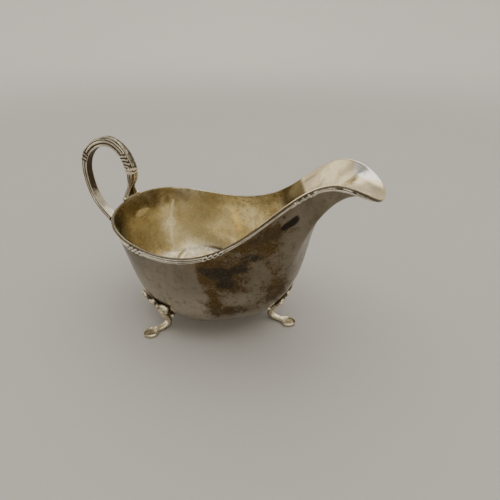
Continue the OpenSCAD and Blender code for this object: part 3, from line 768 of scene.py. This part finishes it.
def handle(material):
    """Strap of the loop: reeded outside, flat within, with a leaf, slanted ridges and ribbon ties."""
    far = lengths(loop_at(FINE_US))
    us = np.interp(np.linspace(0, far[-1], int(far[-1] / STRAP_STEP)), far, FINE_US)
    s = np.interp(us, FINE_US, far)[:, None]
    p = loop_at(us)
    w = unit(loop_at(np.minimum(3, us + 0.005)) - loop_at(np.maximum(0, us - 0.005)))
    o = np.stack([w[:, 2], 0 * us, -w[:, 0]], -1)
    thick = np.where(us < 1, mix(COLLAR_THICK, TOP_THICK, us), mix(TOP_THICK, STRAP_THICK, ease(us - 1)))
    part, x, y, reed, angle = (row[None, :] for row in strap_section())
    x = x * (1 - 0.08 * ease((s - far[-1] + 30) / 30))
    y = y * thick[:, None]
    move, hollow = strap_relief(s, lambda u: np.interp(u, FINE_US, far), part, x, y, reed, angle)
    x = x + np.where(part == REEDED, np.sin(angle), np.where(part == SIDE, np.sign(x), 0)) * move
    y = y + np.where(part == REEDED, np.cos(angle), 0) * move
    rings = p[:, None] + ACROSS * x[..., None] + o[:, None] * y[..., None]
    # the lower end is shaped to the wall
    t, v = find(ACROSS, MIDDLE, x[-1], LOOP_END_HIGH - y[-1] / END_WAY[0], 0, 0.6)
    end = skin(t, v) + out(t, v) * SOLDER
    for i in range(STRAP_FIT):
        rings[-1 - i] = mix(end, rings[-1 - i], ease(i / STRAP_FIT))
    points, faces = tube(rings)
    return make("handle_loop_strap", points, faces, ["handle_loop"], [material],
                {"hollow": spread(hollow, rings)}, sharp=50)


ROOT_LINE = np.array([SEAT, SEAT + [0.5, 0, 0.45 * ROOT_HIGH], COLLAR - [0.6, 0, 0.5 * ROOT_HIGH],
                      COLLAR - [0, 0, SOLDER]])
NECK_AT = 0.62  # where the fork is narrowest, as a share of its height
ROOT_RIBS = ((0.80, 0.36, 1.0), (0.58, 0.10, 0.9))  # place on the rim and at the collar, and height


def root(material):
    """Forked root: ribs that draw together from rounded toes on the rim, over a sunken web."""
    us = np.linspace(0, 1, 70)
    u = us[:, None]
    p = bezier(ROOT_LINE, us)
    half = np.where(us < NECK_AT, mix(ROOT_WIDE / 2, NECK_WIDE / 2, np.sin(np.radians(90 * us / NECK_AT))),
                    mix(NECK_WIDE / 2, STRAP_WIDE / 2, ease((us - NECK_AT) / 0.3)))
    depth = mix(ROOT_THICK, COLLAR_THICK, ease((us - 0.3) / 0.6)) / 2
    a = np.linspace(-1, 1, 49)[None, :]
    rib = np.maximum(bump(np.abs(a) - 0.95, 0.09), bump(u - 0.97, 0.06))
    for low, top, high in ROOT_RIBS:
        rib = np.maximum(rib, high * bump(np.abs(a) - mix(low, top, u), 0.09))
    toe = ease((0.10 - u) / 0.08)
    web = mix(0.18, 1.0, np.maximum(rib, 0.75 * toe))
    web = web * np.sqrt(np.clip(1 - np.abs(a) ** 10, 0.02, 1))
    y = a * half[:, None]
    by = np.clip(y, -ROOT_WIDE / 2, ROOT_WIDE / 2)
    t, v = find(ACROSS, MIDDLE, by, np.full(by.shape, RIM_BACK_HIGH - 2.0), 0, 0.97, 8)
    bow = skin(t, v)[..., 0] - skin(0 * v, v)[..., 0]
    mid = p[:, None, 0] + bow * (1 - u)
    front, back = mid + depth[:, None] * web * 1.1, mid - depth[:, None] * web * 1.1
    z = np.broadcast_to(p[:, None, 2], y.shape)
    rings = np.concatenate([np.stack([front, y, z], -1), np.stack([back, y, z], -1)[:, ::-1]], axis=1)
    hollow = np.clip(1.25 - 1.5 * rib, 0, 1.1) * (1 - 0.75 * toe)
    hollow = np.concatenate([hollow, hollow[:, ::-1]], axis=1)
    parts = [tube(rings) + ({"hollow": spread(hollow, rings)},)]
    for side in (-1, 1):
        parts.append(bead((mid[2, 0] + 0.2, side * (ROOT_WIDE / 2 - 0.7), SEAT[2] + 1.3), 1.55,
                          (1.05, 1.0, 0.85)))
    points, faces, masks = join(parts)
    return make("handle_root_fork", points, faces, ["handle_root"], [material], masks)


# ---------------------------------------------------------------- feet
FOOT_CENTRE = np.array([FOOT_MID, 0, 0])
# outline of a shell: angle from its top, and reach as a share of SHELL_REACH
LOBES = ((0, 0.6), (26, 0.52), (54, 1), (82, 0.5), (104, 0.6), (140, 0.34), (180, 0.3))
# its height for its width, its least thickness, and how closely its flutes follow each other
SHELL_SQUASH, SHELL_EDGE, FLUTES = 0.9, 0.45, 6.3
# shares of the reach where its underside and its top each have a ring
RING_SHARES = (0.12, 0.25, 0.4, 0.55, 0.7, 0.82, 0.91, 0.97, 1.0)
# beads of a shell: angle to each side, share of the reach there, and radius
BEADS = ((0, 0.85, 1.4), (54, 0.93, 1.5), (30, 0.8, 1.3), (80, 0.85, 1.2),
         (104, 0.9, 1.4), (54, 0.75, 1.15), (54, 0.58, 1.3), (54, 0.42, 1.1))
# rings along a leg's curl, its sweep and its pad, and how deep leg and pad are dished
CURL_COUNT, SWEEP_COUNT, PAD_COUNT = 40, 30, 46
LEG_DISH, PAD_DISH = 0.12, 0.95


def foot_ways(turn):
    """Level directions outward and sideways at a foot turned by so many degrees."""
    r = math.radians(turn)
    return np.array([math.cos(r), math.sin(r), 0]), np.array([-math.sin(r), math.cos(r), 0])


def by_foot(turn, side, up, off):
    """Point off the bowl's skin at a place to the side of a foot and up from the ground."""
    guess = 3 if turn == 0 else (0.8 if turn > 0 else 5.2)
    t, v = find(foot_ways(turn)[1], FOOT_CENTRE, side, up, guess, 0.38, 12)
    return skin(t, v) + out(t, v) * np.asarray(off)[..., None]


def on_shell(turn, deg, share, off):
    """Point over the bowl at an angle and share of the outline of a foot's shell."""
    reach = share * SHELL_REACH * np.interp(np.abs(deg), *np.array(LOBES, float).T)
    return by_foot(turn, reach * np.sin(np.radians(deg)),
                   SHELL_HIGH + reach * np.cos(np.radians(deg)) * SHELL_SQUASH, off)


def shell(turn, name, node, material):
    """Palmette over the knuckle of a foot: fluted lobes with raised edges, and beads."""
    deg = np.linspace(180, -180, 180, endpoint=False)
    flute = 0.5 + 0.5 * np.cos(np.radians(np.abs(deg) - 54) * FLUTES)
    rings, hollow = [], []
    # underside rings next to the bowl, with painted shade between the shell and the bowl
    for k in RING_SHARES:
        rings.append(on_shell(turn, deg, k, np.full(len(deg), SOLDER) + LOBE_LIFT * k ** 3))
        hollow.append(np.full(len(deg), 0.6))
    for k in RING_SHARES[::-1]:
        dome = math.sqrt(max(0.0, 1 - k ** 2.2))
        channel = (1 - flute) * 0.85 * min(1, k * 1.6)
        rim = 0.55 * float(bump(k - 0.93, 0.1))
        low = SOLDER + LOBE_LIFT * k ** 3
        high = low + 0.75 + (SHELL_THICK - 0.5) * dome - channel * dome + rim
        rings.append(on_shell(turn, deg, k, np.maximum(high, low + SHELL_EDGE)))
        hollow.append(np.clip((1 - flute) * 1.5 * (1 - rim), 0, 1))
    rings = np.array(rings)
    parts = [tube(rings) + ({"hollow": spread(np.array(hollow), rings)},)]
    for angle, share, size in BEADS:
        off = 1.6 + LOBE_LIFT * share ** 3 + (1 - share) * 1.8
        for side in (1, -1) if angle else (1,):
            parts.append(bead(on_shell(turn, np.array(angle * side), share, np.array(off)), size))
    points, faces, masks = join(parts)
    return make(name, points, faces, [node], [material], masks)


def leg_line(start, high):
    """Middle line of a leg as (outward, up): a curl, a sweep down, and the way along the pad."""
    bend, mid, pad_z, low = start - LEG_IN, start + PAD_OUT, PAD_THICK / 2, high * 0.33
    neck, tip = mid - 4.2, mid + PAD_HALF * 0.995
    curl = np.array([[start, high], [start + LEG_KNEE * 1.5, high - 1.5], [bend, low + 5], [bend, low]])
    sweep = np.array([[bend, low], [bend, pad_z + 2.2], [bend + 1.8, pad_z + 0.7], [neck, pad_z + 0.5]])
    far = mix(neck, tip, 1 - (1 - np.linspace(0, 1, PAD_COUNT)[1:]) ** 1.6)
    pad = np.stack([far, pad_z + 0.5 * ease((mid - far) / (mid - neck))], -1)
    return np.concatenate([bezier(curl, np.linspace(0, 1, CURL_COUNT)),
                           bezier(sweep, np.linspace(0, 1, SWEEP_COUNT))[1:], pad]), neck, mid, tip


def leg(turn, name, node, material):
    """Scroll leg that runs out into a dished oval pad with a raised edge."""
    outward, side = foot_ways(turn)
    up = np.array([0, 0, 1.0])
    top = by_foot(turn, np.array(0.0), np.array(SHELL_HIGH - 1.2), np.array(SHELL_THICK * 0.6))
    line, neck, mid, tip = leg_line(float((top - FOOT_CENTRE) @ outward), top[2])
    way = unit(np.gradient(line, axis=0))
    count, on_pad = len(line), CURL_COUNT + SWEEP_COUNT - 1
    far = line[:, 0]
    wide = np.interp(np.arange(count), [0, CURL_COUNT - 1, on_pad - 1],
                     [LEG_WIDE * 1.1, LEG_WIDE * 0.95, LEG_NECK])
    oval = np.where(far < mid, mix(LEG_NECK, PAD_WIDE, ease((far - neck) / (mid - neck))),
                    PAD_WIDE * np.sqrt(np.clip(1 - ((far - mid) / PAD_HALF) ** 2, 0.0004, 1)))
    wide[on_pad:] = oval[on_pad:]
    thick = np.interp(np.arange(count), [0, 30, 50, on_pad - 1],
                      [LEG_THICK, LEG_THICK * 0.95, LEG_THICK * 0.8, PAD_THICK * 1.35])
    x = np.linspace(-1, 1, 33)
    dish = ease(1 - bump(np.abs(x) - 0.84, 0.3))
    rings, hollow = [], []
    for i in range(count):
        pad = ease((far[i] - neck) / (mid - neck)) if i >= on_pad else 0.0
        at_tip = bump(far[i] - tip, 1.0) if i >= on_pad else 0.0
        deep = mix(LEG_DISH, PAD_DISH, pad) * (1 - at_tip) * ease((i - 3) / 8)
        high = thick[i] * 0.5 + 0.25 - deep * dish * (1 - x ** 4)
        high = high * np.sqrt(np.clip(1 - np.abs(x) ** 8, 0, 1))
        low = -thick[i] * 0.5 * np.clip(1 - np.abs(x) ** 6, 0, 1) ** 0.5
        px = np.concatenate([x, x[::-1][1:-1]]) * wide[i] / 2
        pn = np.concatenate([high, low[::-1][1:-1]])
        normal = up * way[i][0] - outward * way[i][1]
        ring = FOOT_CENTRE + outward * far[i] + up * line[i][1] + side * px[:, None] + normal * pn[:, None]
        ring[:, 2] = np.maximum(ring[:, 2], 0.0)
        rings.append(ring)
        # the dish on top is tarnished; the whole underside gets painted shade
        hollow.append(np.concatenate([dish * mix(0.22, 0.62, pad), 0.8 + 0 * x[1:-1]]))
    points, faces = tube(np.array(rings))
    return make(name, points, faces, [node], [material],
                {"hollow": spread(np.array(hollow), rings)})


# ---------------------------------------------------------------- build
bowl()
border_mat = cast_silver("rim_border_silver", rgb(0.76, 0.71, 0.60), rgb(0.10, 0.078, 0.048))
border(1, "rim_border_left_reeds", "rim_border_left", border_mat)
border(-1, "rim_border_right_reeds", "rim_border_right", border_mat)
handle(cast_silver("handle_silver", rgb(0.76, 0.69, 0.55), rgb(0.08, 0.06, 0.038)))
root(cast_silver("root_silver", rgb(0.74, 0.67, 0.53), rgb(0.085, 0.062, 0.033)))
shell_mat = cast_silver("shell_silver", rgb(0.84, 0.75, 0.56), rgb(0.09, 0.068, 0.038))
leg_mat = cast_silver("foot_silver", rgb(0.88, 0.78, 0.56), rgb(0.19, 0.155, 0.09))
for turn, label in ((0, "front"), (FOOT_TURN, "rear_left"), (-FOOT_TURN, "rear_right")):
    shell(turn, "shell_" + label + "_leaf", "shell_" + label, shell_mat)
    leg(turn, "leg_" + label + "_scroll", "leg_" + label, leg_mat)


# ---------------------------------------------------------------- floor, lights and camera, in metres
def floor():
    """A plain pale round floor that curves up into a plain pale wall all the way round."""
    wide, rise, bend, count = 2.2, 1.6, 0.6, 72
    path = [(0.4, 0.0), (wide - bend, 0.0)]
    path += [(wide - bend + bend * math.sin(a), bend - bend * math.cos(a))
             for a in np.linspace(0, math.pi / 2, 24)[1:]]
    path += [(wide, rise)]
    turn = np.linspace(0, 2 * math.pi, count, endpoint=False)
    verts = [(0, 0, 0)] + [(r * math.cos(a), r * math.sin(a), z) for r, z in path for a in turn]
    faces = [(0, 1 + i, 1 + (i + 1) % count) for i in range(count)]
    for k in range(len(path) - 1):
        low, high = 1 + k * count, 1 + (k + 1) * count
        faces += [(low + i, high + i, high + (i + 1) % count, low + (i + 1) % count) for i in range(count)]
    mesh = bpy.data.meshes.new("floor")
    mesh.from_pydata(verts, [], faces)
    mesh.polygons.foreach_set("use_smooth", np.ones(len(faces), bool))
    k = Nodes("floor_pale")
    away = k.add("ShaderNodeVectorMath", operation="LENGTH", inputs={0: k.place()}).outputs["Value"]
    pale = k.blend(k.step(away, 0.6, 2.0), rgb(0.45, 0.435, 0.41), rgb(0.78, 0.76, 0.72))
    mesh.materials.append(k.finish(pale, 0.75, metal=0.0))
    obj = bpy.data.objects.new("floor", mesh)
    bpy.context.scene.collection.objects.link(obj)


def lamp(name, place, aim, size, power, colour):
    """A soft rectangular light, turned to its aim."""
    data = bpy.data.lights.new(name, "AREA")
    data.shape, data.size, data.size_y = "RECTANGLE", size[0], size[1]
    data.energy, data.color = power, colour
    obj = bpy.data.objects.new(name, data)
    obj.location = place
    way = Vector(np.array(aim) - np.array(place))
    obj.rotation_euler = way.to_track_quat("-Z", "Y").to_euler()
    bpy.context.scene.collection.objects.link(obj)


floor()
lamp("top", (0.1, 0.25, 1.55), (0, 0, 0.05), (3.0, 2.6), 41, (1.0, 0.96, 0.89))
lamp("wall", (-1.3, -0.35, 0.45), (0, 0, 0.08), (1.2, 1.0), 2.6, (1.0, 0.96, 0.88))
lamp("fill", (0.9, -0.6, 0.6), (0, 0, 0.05), (0.6, 0.6), 1.2, (1.0, 0.97, 0.93))

world = bpy.data.worlds.new("studio")
bpy.context.scene.world = world
world.use_nodes = True
world.node_tree.nodes["Background"].inputs[0].default_value = (0.75, 0.73, 0.70, 1)
world.node_tree.nodes["Background"].inputs[1].default_value = 0.34

# the camera stands in front of the right side, above the boat, and looks 31 degrees down
camera = bpy.data.cameras.new("camera")
camera.lens, camera.sensor_width = 27.07, 36.0
camera.clip_start, camera.clip_end = 0.01, 20
eye = bpy.data.objects.new("camera", camera)
eye.location = (0.11005, -0.1912, 0.1770)
eye.rotation_euler = (math.radians(59), 0, math.radians(23.5))
bpy.context.scene.collection.objects.link(eye)
bpy.context.scene.camera = eye
